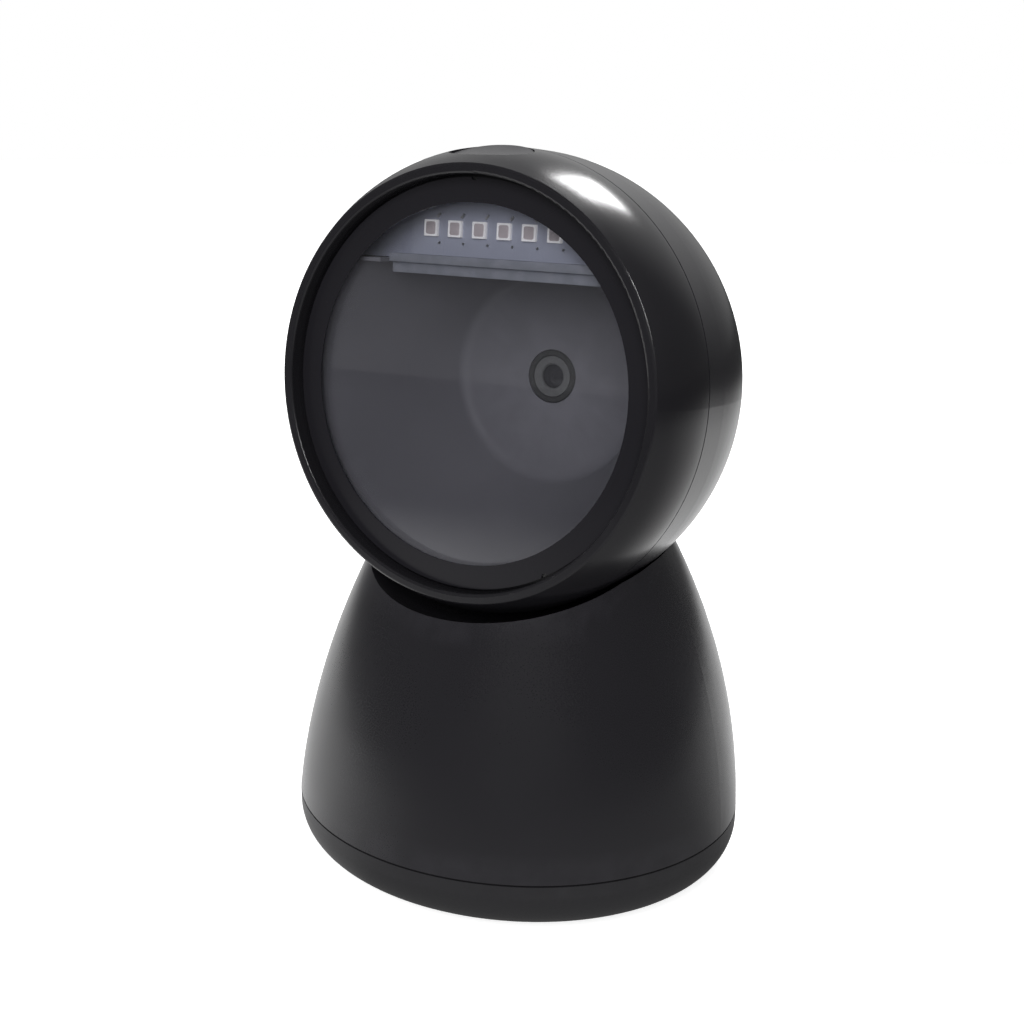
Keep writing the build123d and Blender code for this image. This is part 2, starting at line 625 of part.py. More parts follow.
with BuildPart() as image_sensor:
    with BuildSketch(FACE.offset(BOARD_Z)):
        Rectangle(7.4, 6.8)
    extrude(amount=SENSOR_THICK - 0.3)
save(image_sensor, "image_sensor")

# ==== head: decoder board ====
BOARD_MID_V = 1.0
BOARD_BACK = BOARD_Z - BOARD_THICK
with BuildPart() as decoder_board:
    with BuildSketch(FACE.offset(BOARD_BACK)):
        with Locations((0, BOARD_MID_V)):
            RectangleRounded(46, 40, 3)
        with GridLocations(2 * POST_AT, 2 * POST_AT, 2, 2):
            Circle(SMALL_SCREW_R + CLEAR, mode=Mode.SUBTRACT)
    extrude(amount=BOARD_THICK)
save(decoder_board, "decoder_board")

BOARD_SCREW_PLACES = [(x, y) for x in (-POST_AT, POST_AT) for y in (-POST_AT, POST_AT)]
board_screws = screws(FACE.offset(BOARD_BACK), BOARD_SCREW_PLACES, 1.8, 1.2, SMALL_SCREW_R, 6.5)
save(board_screws, "board_screws")

with BuildPart() as decoder_chips:
    with BuildSketch(FACE.offset(BOARD_BACK)):
        with Locations((-13, 3)):
            Rectangle(11, 11)
        with Locations((13, 4)):
            Rectangle(8, 10)
    extrude(amount=-1.2)
save(decoder_chips, "decoder_chips")

BEEPER_R = 5.6
BEEPER_V = 5.0
with BuildPart() as beeper:
    with BuildSketch(FACE.offset(BOARD_BACK)):
        with Locations((0, BEEPER_V)):
            Circle(BEEPER_R)
    extrude(amount=-5.2)
    with BuildSketch(FACE.offset(BOARD_BACK - 5.2)):
        with Locations((0, BEEPER_V)):
            Circle(1.1)
    extrude(amount=2, mode=Mode.SUBTRACT)
save(beeper, "beeper")

PLUG_V = -14.5
with BuildPart() as head_plug:
    with BuildSketch(FACE.offset(BOARD_BACK)):
        with Locations((0, PLUG_V)):
            Rectangle(12, 5)
    extrude(amount=-3.6)
    with BuildSketch(FACE.offset(BOARD_BACK - 0.8)):
        with Locations((0, PLUG_V - 2.5)):
            Rectangle(10, 3)
    extrude(amount=-2.0, mode=Mode.SUBTRACT)
save(head_plug, "head_plug")

HARNESS_R = 0.9
with BuildPart() as head_harness:
    with BuildLine(SIDE):
        Spline((BOARD_BACK - 1.8, PLUG_V - 2.6), (BOARD_BACK - 1.2, -20.0), (-24.5, -21.9), (-20.8, -21.6))
    with BuildSketch(Plane(origin=SIDE.from_local_coords((BOARD_BACK - 1.8, PLUG_V - 2.6)), z_dir=-UPRIGHT)):
        Circle(HARNESS_R)
    sweep()
save(head_harness, "head_harness")

CABLE_START = REFLECTOR_BACK - 0.2
CABLE_END = BOARD_Z + 0.2
with BuildPart() as light_cable:
    cable_side = Plane(origin=TILT + Vector(8, 0, 0), x_dir=AHEAD, z_dir=(-1, 0, 0))
    with BuildLine(cable_side):
        Spline((CABLE_START, 32.0), (CABLE_START - 1.5, 32.0), (2.0, 31.4), (-6.0, 29.8), (-16.0, 27.0),
               (-22.0, 21.6), (CABLE_END + 1.2, 18.3), (CABLE_END, 18.0))
    with BuildSketch(Plane(origin=cable_side.from_local_coords((CABLE_START, 32.0)), z_dir=-AHEAD)):
        Circle(0.8)
    sweep()
save(light_cable, "light_cable")

# ==== head: button and its switch ====
BUTTON_DISH = 0.75
FLANGE_GAP = 0.1
STEM_END = 40.95
with BuildPart() as mode_button:
    with BuildSketch(BUTTON.offset(BUTTON_TOP - BUTTON_THICK)):
        Ellipse(BUTTON_A, BUTTON_B)
    extrude(amount=BUTTON_THICK)
    fillet(mode_button.faces().sort_by(Axis(TILT, BUTTON_UP))[-1].edges(), 0.3)
    # thumb hollow in the cap
    dish_r = (BUTTON_B ** 2 + BUTTON_DISH ** 2) / (2 * BUTTON_DISH)
    with BuildSketch(Plane(origin=TILT + BUTTON_UP * (BUTTON_TOP - BUTTON_DISH + dish_r),
                           x_dir=BUTTON.y_dir, z_dir=X_DIR)):
        Circle(dish_r)
    extrude(amount=BUTTON_A + 2, both=True, mode=Mode.SUBTRACT)
    with BuildSketch(BUTTON.offset(STEM_END)):
        with Locations((0, BUTTON_STEM_BACK)):
            Circle(BUTTON_STEM_R)
    extrude(amount=BUTTON_TOP - BUTTON_THICK - STEM_END)
    with BuildSketch(BUTTON.offset(BUTTON_FLOOR_UNDER - FLANGE_GAP - 0.8)):
        with Locations((0, BUTTON_STEM_BACK)):
            Circle(2.5)
    extrude(amount=0.8)
save(mode_button, "mode_button")

PLUNGER_Z = 8.3
PLUNGER_TOP = 39.78
PLUNGER_ROOT = 36.4
SWITCH_BACK = 5.9
SWITCH_FRONT = LED_BOARD_BACK - CLEAR
LEVEL = Plane(origin=TILT, x_dir=X_DIR, z_dir=UPRIGHT)            # sketch (across, rearwards)
with BuildPart() as button_switch:
    with BuildSketch(LEVEL.offset(SWITCH_LOW)):
        with Locations((0, -(SWITCH_BACK + SWITCH_FRONT) / 2)):
            Rectangle(2 * SWITCH_HALF, SWITCH_FRONT - SWITCH_BACK)
    extrude(amount=SWITCH_HIGH - SWITCH_LOW)
    with BuildSketch(LEVEL.offset(PLUNGER_ROOT - 0.9)):
        with Locations((0, -PLUNGER_Z)):
            Circle(0.9 + CLEAR)
    extrude(amount=4, mode=Mode.SUBTRACT)
save(button_switch, "button_switch")

with BuildPart() as switch_plunger:
    with BuildSketch(LEVEL.offset(PLUNGER_ROOT)):
        with Locations((0, -PLUNGER_Z)):
            Circle(0.9)
    extrude(amount=PLUNGER_TOP - PLUNGER_ROOT)
save(switch_plunger, "switch_plunger")

# ==== base: friction neck ====
NECK_BORE = NECK_R + FIT
STEM_SCREW_R = 8.0
STEM_SCREW_PLACES = [
    (STEM_SCREW_R * cos(radians(a)), STEM_SCREW_R * sin(radians(a))) for a in (30, 150, 270)
]
with BuildPart() as neck_stem:
    with BuildSketch(STEM.offset(-FLANGE_TOP - FLANGE_THICK)):
        Circle(FLANGE_R)
    extrude(amount=FLANGE_THICK)
    with BuildSketch(STEM.offset(-FLANGE_TOP)):
        Circle(STEM_R)
    extrude(amount=FLANGE_TOP - STEM_SHOULDER)
    with BuildSketch(STEM.offset(-STEM_SHOULDER)):
        Circle(NECK_R)
    extrude(amount=STEM_SHOULDER - STEM_TOP)
    with BuildSketch(STEM.offset(-FLANGE_TOP - FLANGE_THICK)):
        Circle(STEM_BORE_R)
    extrude(amount=FLANGE_TOP + FLANGE_THICK - STEM_TOP, mode=Mode.SUBTRACT)
    with BuildSketch(STEM.offset(-FLANGE_TOP - FLANGE_THICK)):
        with Locations(*STEM_SCREW_PLACES):
            Circle(SCREW_R + CLEAR)
    extrude(amount=FLANGE_THICK, mode=Mode.SUBTRACT)
save(neck_stem, "neck_stem")

stem_screws = screws(STEM.offset(-FLANGE_TOP - FLANGE_THICK), STEM_SCREW_PLACES, 1.8, 1.3, SCREW_R, 5.6)
save(stem_screws, "stem_screws")

with BuildPart() as lower_shoe:
    with BuildSketch(STEM_SIDE):
        with Locations((0, -STEM_SHOULDER + 0.05 + 1.25)):
            Rectangle(13, 2.5)
        Circle(TRACK_OUT + RUN, mode=Mode.SUBTRACT)
    extrude(amount=5.1, both=True)
    with BuildSketch(STEM.offset(-STEM_SHOULDER - 1)):
        Circle(NECK_BORE)
    extrude(amount=5, mode=Mode.SUBTRACT)
save(lower_shoe, "lower_shoe")

SHOE_TOP = 37.2
with BuildPart() as clamp_shoe:
    with BuildSketch(STEM_SIDE):
        with Locations((0, -SHOE_TOP - 2)):
            Rectangle(12, 4)
        Circle(TRACK_IN - RUN, mode=Mode.INTERSECT)
    extrude(amount=9, both=True)
    with BuildSketch(STEM.offset(-TRACK_IN - 1)):
        Circle(NECK_BORE)
    extrude(amount=6, mode=Mode.SUBTRACT)
save(clamp_shoe, "clamp_shoe")

with BuildPart() as friction_washer:
    with BuildSketch(STEM.offset(-SHOE_TOP)):
        Circle(5.6)
        Circle(NECK_BORE, mode=Mode.SUBTRACT)
    extrude(amount=0.6)
save(friction_washer, "friction_washer")

with BuildPart() as neck_nut:
    with BuildSketch(STEM.offset(-SHOE_TOP + 0.6)):
        RegularPolygon(5.6, 6)
        Circle(NECK_R + CLEAR, mode=Mode.SUBTRACT)
    extrude(amount=1.9)
save(neck_nut, "neck_nut")

# ==== base: bell ====
SHELL_START = SEAM_GAP / 2
SOCKET_HALF = 7.2
SOCKET_LOW = 14.9
SOCKET_HIGH = 25.1
TRAY_SCREW_PLACES = [(29.5, 21.0), (-29.5, 21.0), (29.5, -21.0), (-29.5, -21.0)]

with BuildPart() as base_hollow:
    add(bell_loft(WALL, -2, BELL_HEIGHT))
    add(saddle_balls(WALL), mode=Mode.SUBTRACT)
    with BuildSketch(STEM.offset(-FLANGE_TOP)):
        Circle(FLANGE_R + 1.5)
    extrude(amount=12, mode=Mode.SUBTRACT)

with BuildPart() as shell_columns:
    with BuildSketch(Plane.XY.offset(SEAM_HEIGHT + SHELL_START)):
        with Locations(*TRAY_SCREW_PLACES):
            Circle(3.4)
    extrude(amount=50)
    add(bell_loft(WALL / 2, -2, BELL_HEIGHT), mode=Mode.INTERSECT)

with BuildPart() as base_shell:
    add(bell_loft(0, SHELL_START, BELL_HEIGHT))
    add(base_hollow.part, mode=Mode.SUBTRACT)
    add(shell_columns.part)
    add(saddle_balls(0), mode=Mode.SUBTRACT)
    with BuildSketch(STEM.offset(-FLANGE_TOP)):
        Circle(STEM_R + FIT)
    extrude(amount=14, mode=Mode.SUBTRACT)
    with BuildSketch(STEM.offset(-FLANGE_TOP)):
        with Locations(*STEM_SCREW_PLACES):
            Circle(SCREW_R + CLEAR)
    extrude(amount=3.3, mode=Mode.SUBTRACT)
    with BuildSketch(Plane.XY.offset(SEAM_HEIGHT + SHELL_START)):
        with Locations(*TRAY_SCREW_PLACES):
            Circle(TRAY_SCREW_R + CLEAR)
    extrude(amount=8, mode=Mode.SUBTRACT)
    # opening for the cable socket at the back
    with BuildSketch(Plane((0, 30, (SOCKET_LOW + SOCKET_HIGH) / 2), x_dir=X_DIR, z_dir=(0, 1, 0))):
        Rectangle(2 * SOCKET_HALF + 0.3, SOCKET_HIGH - SOCKET_LOW + 0.3)
    extrude(amount=30, mode=Mode.SUBTRACT)
save(base_shell, "base_shell")

# ==== base: tray ====
TRAY_TOP = SEAM_HEIGHT - SEAM_GAP / 2
HALF_DEPTH = HALF_WIDTH * DEPTH_RATIO
LIP_TOP = 14.6
LIP_GAP = 0.5
TRAY_FLOOR = FOOT_HEIGHT + TRAY_WALL
FOOT_RECESS = 0.5
FOOT_OUT = (31.0, 27.0)       # half axes of the rubber ring
FOOT_IN = (26.4, 22.4)
BALLAST_THICK = 6.0
TRAY_COUNTERBORE = 4.6
BOARD_LEVEL = 13.2
BOARD_POSTS = [(10.5, 22.5), (-10.5, 22.5), (10.5, 33.5), (-10.5, 33.5)]
BALLAST_Y = -9.0
BALLAST_SCREWS = [(22.0, BALLAST_Y), (-22.0, BALLAST_Y)]

with BuildPart() as tray_hollow:
    with BuildSketch(Plane.XY.offset(TRAY_FLOOR)):
        Ellipse(HALF_WIDTH - TRAY_WALL, HALF_DEPTH - TRAY_WALL)
    extrude(amount=16)
    fillet(tray_hollow.faces().sort_by(Axis.Z)[0].edges(), TRAY_ROUND - TRAY_WALL + 0.6)

with BuildPart() as base_tray:
    with BuildSketch(Plane.XY.offset(FOOT_HEIGHT)):
        Ellipse(HALF_WIDTH, HALF_DEPTH)
    extrude(amount=TRAY_TOP - FOOT_HEIGHT)
    fillet(base_tray.faces().sort_by(Axis.Z)[0].edges(), TRAY_ROUND)
    add(tray_hollow.part, mode=Mode.SUBTRACT)
    # locating lip inside the bell
    with BuildSketch(Plane.XY.offset(TRAY_TOP - 2.4)):
        Ellipse(HALF_WIDTH - TRAY_WALL + 0.3, HALF_DEPTH - TRAY_WALL + 0.3)
        Ellipse(HALF_WIDTH - WALL - TONGUE, HALF_DEPTH - WALL - TONGUE, mode=Mode.SUBTRACT)
    extrude(amount=2.4)
    with BuildSketch(Plane.XY.offset(TRAY_TOP - 1)):
        Ellipse(HALF_WIDTH - WALL - LIP_GAP, HALF_DEPTH - WALL - LIP_GAP)
        Ellipse(HALF_WIDTH - WALL - TONGUE, HALF_DEPTH - WALL - TONGUE, mode=Mode.SUBTRACT)
    extrude(amount=LIP_TOP - TRAY_TOP + 1)
    # screw pillars up to the bell's columns, board posts and ballast bosses
    with BuildSketch(Plane.XY.offset(TRAY_FLOOR - 0.5)):
        with Locations(*TRAY_SCREW_PLACES):
            Circle(3.8)
    extrude(amount=TRAY_TOP - TRAY_FLOOR + 0.5)
    with BuildSketch(Plane.XY.offset(TRAY_FLOOR - 0.5)):
        with Locations(*BOARD_POSTS):
            Circle(2.2)
    extrude(amount=BOARD_LEVEL - TRAY_FLOOR + 0.5)
    with BuildSketch(Plane.XY.offset(TRAY_FLOOR)):
        with Locations(*BOARD_POSTS):
            Circle(SMALL_SCREW_R + CLEAR)
    extrude(amount=BOARD_LEVEL - TRAY_FLOOR, mode=Mode.SUBTRACT)
    with BuildSketch(Plane.XY.offset(FOOT_HEIGHT)):
        with Locations(*TRAY_SCREW_PLACES):
            Circle(2.6)
    extrude(amount=TRAY_COUNTERBORE, mode=Mode.SUBTRACT)
    with BuildSketch(Plane.XY.offset(FOOT_HEIGHT)):
        with Locations(*TRAY_SCREW_PLACES):
            Circle(TRAY_SCREW_R + CLEAR)
    extrude(amount=14, mode=Mode.SUBTRACT)
    # groove for the rubber foot ring
    with BuildSketch(Plane.XY.offset(FOOT_HEIGHT)):
        Ellipse(*FOOT_OUT)
        Ellipse(*FOOT_IN, mode=Mode.SUBTRACT)
    extrude(amount=FOOT_RECESS, mode=Mode.SUBTRACT)
    with BuildSketch(Plane.XY.offset(TRAY_FLOOR - 1.6)):
        with Locations(*BALLAST_SCREWS):
            Circle(SCREW_R + CLEAR)
    extrude(amount=2, mode=Mode.SUBTRACT)
save(base_tray, "base_tray")

with BuildPart() as foot_ring:
    with BuildSketch():
        Ellipse(FOOT_OUT[0] - FIT, FOOT_OUT[1] - FIT)
        Ellipse(FOOT_IN[0] + FIT, FOOT_IN[1] + FIT, mode=Mode.SUBTRACT)
    extrude(amount=FOOT_HEIGHT + FOOT_RECESS)
    fillet(foot_ring.faces().sort_by(Axis.Z)[0].edges(), 0.3)
save(foot_ring, "foot_ring")

with BuildPart() as ballast_plate:
    with BuildSketch(Plane.XY.offset(TRAY_FLOOR)):
        with Locations((0, BALLAST_Y)):
            Ellipse(27.5, 22)
        with Locations(*TRAY_SCREW_PLACES):
            Circle(4.4, mode=Mode.SUBTRACT)
        with Locations(*BALLAST_SCREWS):
            Circle(SCREW_R + CLEAR, mode=Mode.SUBTRACT)
    extrude(amount=BALLAST_THICK)
    chamfer(ballast_plate.faces().sort_by(Axis.Z)[-1].outer_wire().edges(), 0.5)
save(ballast_plate, "ballast_plate")

upside_down = Plane((0, 0, TRAY_FLOOR + BALLAST_THICK), x_dir=X_DIR, z_dir=(0, 0, -1))
ballast_screws = screws(upside_down, [(x, -y) for x, y in BALLAST_SCREWS], 2.0, 1.4, SCREW_R, 7.4)
save(ballast_screws, "ballast_screws")

tray_screws = screws(Plane.XY.offset(FOOT_HEIGHT + TRAY_COUNTERBORE), TRAY_SCREW_PLACES,
                     2.3, 1.6, TRAY_SCREW_R, 14.0)
save(tray_screws, "tray_screws")

# ==== base: cable socket and its board ====
INTERFACE_THICK = 1.6
INTERFACE_Y = 28.0
PLUG_Y = 22.5
INTERFACE_TOP = BOARD_LEVEL + INTERFACE_THICK
with BuildPart() as interface_board:
    with BuildSketch(Plane.XY.offset(BOARD_LEVEL)):
        with Locations((0, INTERFACE_Y)):
            RectangleRounded(27, 20.4, 1.5)
        with Locations(*BOARD_POSTS):
            Circle(SMALL_SCREW_R + CLEAR, mode=Mode.SUBTRACT)
    extrude(amount=INTERFACE_THICK)
save(interface_board, "interface_board")

board_top = Plane((0, 0, INTERFACE_TOP), x_dir=X_DIR, z_dir=(0, 0, -1))
interface_screws = screws(board_top, [(x, -y) for x, y in BOARD_POSTS], 1.5, 1.1, SMALL_SCREW_R, 6.0)
save(interface_screws, "interface_screws")

SOCKET_FACE = 44.6
SOCKET_BACK = 29.5
SOCKET_DEPTH = 11.5
SOCKET_MID = (SOCKET_LOW + SOCKET_HIGH) / 2
with BuildPart() as cable_socket:
    with BuildSketch(Plane((0, SOCKET_BACK, SOCKET_MID), x_dir=X_DIR, z_dir=(0, 1, 0))):
        Rectangle(2 * SOCKET_HALF, SOCKET_HIGH - SOCKET_LOW)
    extrude(amount=SOCKET_FACE - SOCKET_BACK)
    with BuildSketch(Plane((0, SOCKET_FACE, SOCKET_MID), x_dir=X_DIR, z_dir=(0, 1, 0))):
        Rectangle(11.0, 6.8)
        with Locations((0, 3.9)):
            Rectangle(5.6, 1.4)
    extrude(amount=-SOCKET_DEPTH, mode=Mode.SUBTRACT)
save(cable_socket, "cable_socket")

with BuildPart() as socket_contacts:
    with BuildSketch(Plane((0, SOCKET_FACE - SOCKET_DEPTH, SOCKET_MID + 2.4), x_dir=X_DIR, z_dir=(0, 1, 0))):
        with GridLocations(1.02, 1, 8, 1):
            Rectangle(0.4, 0.4)
    extrude(amount=8.0)
save(socket_contacts, "socket_contacts")

with BuildPart() as base_plug:
    with BuildSketch(Plane.XY.offset(INTERFACE_TOP)):
        with Locations((0, PLUG_Y)):
            Rectangle(10, 5)
    extrude(amount=4.5)
save(base_plug, "base_plug")

BASE_HARNESS_R = 1.5
with BuildPart() as base_harness:
    stem_mouth = TILT - STEM_UP * (FLANGE_TOP + FLANGE_THICK + 1)
    stem_tip = TILT - STEM_UP * (STEM_TOP - 0.2)
    start = Vector(0, PLUG_Y, INTERFACE_TOP + 4.6)
    with BuildLine():
        rise = Spline(start, Vector(0, 18.5, 33.0), stem_mouth, tangents=[(0, 0, 1), STEM_UP])
        Line(rise @ 1, stem_tip)
    with BuildSketch(Plane(origin=start, z_dir=(0, 0, 1))):
        Circle(BASE_HARNESS_R)
    sweep()
save(base_harness, "base_harness")
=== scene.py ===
"""Looks for the tilting-head counter scanner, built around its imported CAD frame.

The pieces made here belong to the head and are written in its own millimetres, from the tilt axis: across, up
along the window, and ahead out of the window.
"""
import json
import math

import bmesh
import bpy
from mathutils import Matrix, Vector


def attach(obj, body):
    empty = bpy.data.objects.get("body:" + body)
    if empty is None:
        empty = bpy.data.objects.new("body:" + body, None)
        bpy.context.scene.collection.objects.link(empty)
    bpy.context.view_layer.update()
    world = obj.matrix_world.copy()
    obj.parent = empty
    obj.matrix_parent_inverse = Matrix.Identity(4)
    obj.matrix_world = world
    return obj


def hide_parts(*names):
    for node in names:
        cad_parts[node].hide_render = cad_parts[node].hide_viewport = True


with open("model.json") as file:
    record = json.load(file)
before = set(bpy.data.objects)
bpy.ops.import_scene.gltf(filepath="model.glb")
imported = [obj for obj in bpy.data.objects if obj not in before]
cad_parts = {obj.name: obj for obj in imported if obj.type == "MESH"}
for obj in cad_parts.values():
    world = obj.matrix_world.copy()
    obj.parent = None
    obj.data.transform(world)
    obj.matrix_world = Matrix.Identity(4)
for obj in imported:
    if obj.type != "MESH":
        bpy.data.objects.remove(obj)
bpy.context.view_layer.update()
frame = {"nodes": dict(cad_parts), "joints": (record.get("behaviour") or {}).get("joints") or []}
nodes = frame["nodes"]
scene = bpy.context.scene

# ---- sizes, in millimetres and degrees ----
MM = 0.001
REST_PITCH = 5.3             # the window looks up by this much at rest
RIM_AHEAD = 22.0             # rim plane, ahead of the tilt axis
LED_AHEAD = 11.0             # front face of the light board
LED_UP = 30.5
LED_PITCH = 5.73
LED_COUNT = 6
LED_HALF = 1.55              # half side of a light package
LED_TALL = 0.9
BOARD_BACK = -27.6           # rear face of the decoder board
SHARP = 38.0                 # edges bent by more than this many degrees stay crisp
CORNER_STEPS = 4             # straight runs in each rounded corner

TILT = Vector(frame["joints"][0]["pos_m"])
PITCH = math.radians(REST_PITCH)
ACROSS = Vector((1, 0, 0))
UPRIGHT = Vector((0, math.sin(PITCH), math.cos(PITCH)))
AHEAD = Vector((0, -math.cos(PITCH), math.sin(PITCH)))
HEAD = Matrix.Translation(TILT) @ Matrix((ACROSS, UPRIGHT, AHEAD)).transposed().to_4x4() @ Matrix.Scale(MM, 4)


# ==== mesh helpers ====
def rounded_box(half_x, half_y, rounding, centre):
    """Outline of a rectangle with rounded corners."""
    outline = []
    for quarter, (side_x, side_y) in enumerate(((1, 1), (-1, 1), (-1, -1), (1, -1))):
        for k in range(CORNER_STEPS + 1):
            a = math.radians(90 * (quarter + k / CORNER_STEPS))
            outline.append((centre[0] + side_x * (half_x - rounding) + rounding * math.cos(a),
                            centre[1] + side_y * (half_y - rounding) + rounding * math.sin(a)))
    return outline


def stack(levels, centre=(0.0, 0.0)):
    """Closed solid through rounded rectangles, each level being (half_x, half_y, rounding, height)."""
    bm = bmesh.new()
    rings = []
    for half_x, half_y, rounding, height in levels:
        outline = rounded_box(half_x, half_y, rounding, centre)
        rings.append([bm.verts.new((x, y, height)) for x, y in outline])
    for low, high in zip(rings, rings[1:]):
        for j in range(len(low)):
            k = (j + 1) % len(low)
            bm.faces.new((low[j], low[k], high[k], high[j]))
    bm.faces.new(list(reversed(rings[0])))
    bm.faces.new(rings[-1])
    bmesh.ops.recalc_face_normals(bm, faces=bm.faces)
    return bm


def block(half_x, half_y, low, high, centre, edge=0.08):
    """Box with rounded upright corners and softened rims; high may lie on either side of low."""
    step = edge if high > low else -edge
    return stack([
        (half_x - edge, half_y - edge, edge, low),
        (half_x, half_y, 2 * edge, low + step),
        (half_x, half_y, 2 * edge, high - step),
        (half_x - edge, half_y - edge, edge, high),
    ], centre)


def prism(profile, left, right, edge):
    """Bar from left to right with a profile of (ahead, up) corners and softened edges."""
    bm = bmesh.new()
    ends = [[bm.verts.new((across, up, ahead)) for ahead, up in profile] for across in (left, right)]
    for j in range(len(profile)):
        k = (j + 1) % len(profile)
        bm.faces.new((ends[0][j], ends[0][k], ends[1][k], ends[1][j]))
    bm.faces.new(list(reversed(ends[0])))
    bm.faces.new(ends[1])
    bmesh.ops.recalc_face_normals(bm, faces=bm.faces)
    bmesh.ops.bevel(bm, geom=bm.edges[:], offset=edge, segments=2, profile=0.5, affect="EDGES")
    return bm


def turned(bm, degrees, centre):
    """The mesh turned about an axis along ahead that goes through a point."""
    spin = Matrix.Rotation(math.radians(degrees), 3, "Z")
    bmesh.ops.rotate(bm, verts=bm.verts, cent=(centre[0], centre[1], 0), matrix=spin)
    return bm


def joined(meshes):
    """One bmesh out of several."""
    whole = bmesh.new()
    for part in meshes:
        mesh = bpy.data.meshes.new("part")
        part.to_mesh(mesh)
        part.free()
        whole.from_mesh(mesh)
        bpy.data.meshes.remove(mesh)
    return whole


def piece(name, meshes, material, stands_for):
    """Head piece made from meshes in the head's millimetres, dressed and placed in the frame."""
    bm = joined(meshes)
    bm.transform(HEAD)
    mesh = bpy.data.meshes.new(name)
    bm.to_mesh(mesh)
    bm.free()
    made = bpy.data.objects.new(name, mesh)
    scene.collection.objects.link(made)
    mesh.materials.append(material)
    for face in mesh.polygons:
        face.use_smooth = True
    mesh.set_sharp_from_angle(angle=math.radians(SHARP))
    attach(made, "head")
    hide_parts(stands_for)
    return made


# ==== material helpers ====
class Nodes:
    """Small wrapper that makes and links shader nodes."""

    def __init__(self, name):
        self.material = bpy.data.materials.new(name)
        self.material.use_nodes = True
        self.tree = self.material.node_tree
        self.tree.nodes.clear()
        self.out = self.tree.nodes.new("ShaderNodeOutputMaterial")

    def make(self, kind, **values):
        node = self.tree.nodes.new(kind)
        for key, value in values.items():
            if hasattr(node, key):
                setattr(node, key, value)
            else:
                self.feed(node, key.replace("_", " "), value)
        return node

    def feed(self, node, socket, value):
        target = node.inputs[socket]
        if isinstance(value, bpy.types.NodeSocket):
            self.tree.links.new(value, target)
        else:
            target.default_value = value

    def place(self):
        return self.make("ShaderNodeTexCoord").outputs["Object"]

    def noise(self, scale, detail=3.0, rough=0.55):
        """Cloud pattern; scale is in waves per metre."""
        node = self.make("ShaderNodeTexNoise")
        self.feed(node, "Vector", self.place())
        self.feed(node, "Scale", scale)
        self.feed(node, "Detail", detail)
        self.feed(node, "Roughness", rough)
        return node.outputs["Fac"]

    def cells(self, scale):
        """Distance to the nearest of many scattered points."""
        node = self.make("ShaderNodeTexVoronoi")
        self.feed(node, "Vector", self.place())
        self.feed(node, "Scale", scale)
        return node.outputs["Distance"]

    def span(self, value, low, high, to_low, to_high, kind="LINEAR"):
        """Carries the range low..high over to to_low..to_high and stops at its ends."""
        node = self.make("ShaderNodeMapRange", interpolation_type=kind)
        self.feed(node, "Value", value)
        self.feed(node, "From Min", low)
        self.feed(node, "From Max", high)
        self.feed(node, "To Min", to_low)
        self.feed(node, "To Max", to_high)
        return node.outputs["Result"]

    def maths(self, operation, a, b=0.0, clamp=False):
        node = self.make("ShaderNodeMath", operation=operation, use_clamp=clamp)
        self.feed(node, 0, a)
        self.feed(node, 1, b)
        return node.outputs["Value"]

    def blend(self, share, first, second):
        """Mixes two colours; the numbered sockets are the mix node's share and colours."""
        node = self.make("ShaderNodeMix", data_type="RGBA")
        self.feed(node, 0, share)
        self.feed(node, 6, first)
        self.feed(node, 7, second)
        return node.outputs[2]

    def bump(self, height, strength, distance_mm):
        node = self.make("ShaderNodeBump")
        self.feed(node, "Height", height)
        self.feed(node, "Strength", strength)
        self.feed(node, "Distance", distance_mm * MM)
        return node.outputs["Normal"]

    def mixed(self, share, first, second):
        """Mixes two shaders."""
        node = self.make("ShaderNodeMixShader")
        self.feed(node, 0, share)
        self.feed(node, 1, first)
        self.feed(node, 2, second)
        return node.outputs[0]

    def simple(self, kind, **values):
        """Shader of a kind that has a single output."""
        return self.make(kind, **values).outputs[0]

    def surface(self, **values):
        node = self.make("ShaderNodeBsdfPrincipled")
        for key, value in values.items():
            self.feed(node, key.replace("_", " "), value)
        return node.outputs["BSDF"]

    def done(self, shader):
        self.tree.links.new(shader, self.out.inputs["Surface"])
        return self.material


def grey(value, cool=0.0):
    """Linear grey with a small violet-blue cast, or a warm one when cool is below zero."""
    return (value, value * (1 - 0.5 * abs(cool)), value * (1 + 1.6 * cool), 1.0)


DRIFT_SCALE = 28.0           # slow change of tone and gloss, in waves per metre
RUB_SCALE = 160.0            # patches where edges are rubbed
DUST_SCALE = 900.0
STAIN_SCALE = 220.0
SMEAR_SCALE = 55.0
CONVEX = (0.505, 0.56)       # pointiness from which an edge counts as rubbed, and where it is fully so
REFLECT_GAIN = 1.6           # both faces of a clear sheet reflect
FILM_COLOUR = (0.62, 0.61, 0.68, 1)
PLASTIC_IOR = 1.5
SHEET_IOR = 1.49


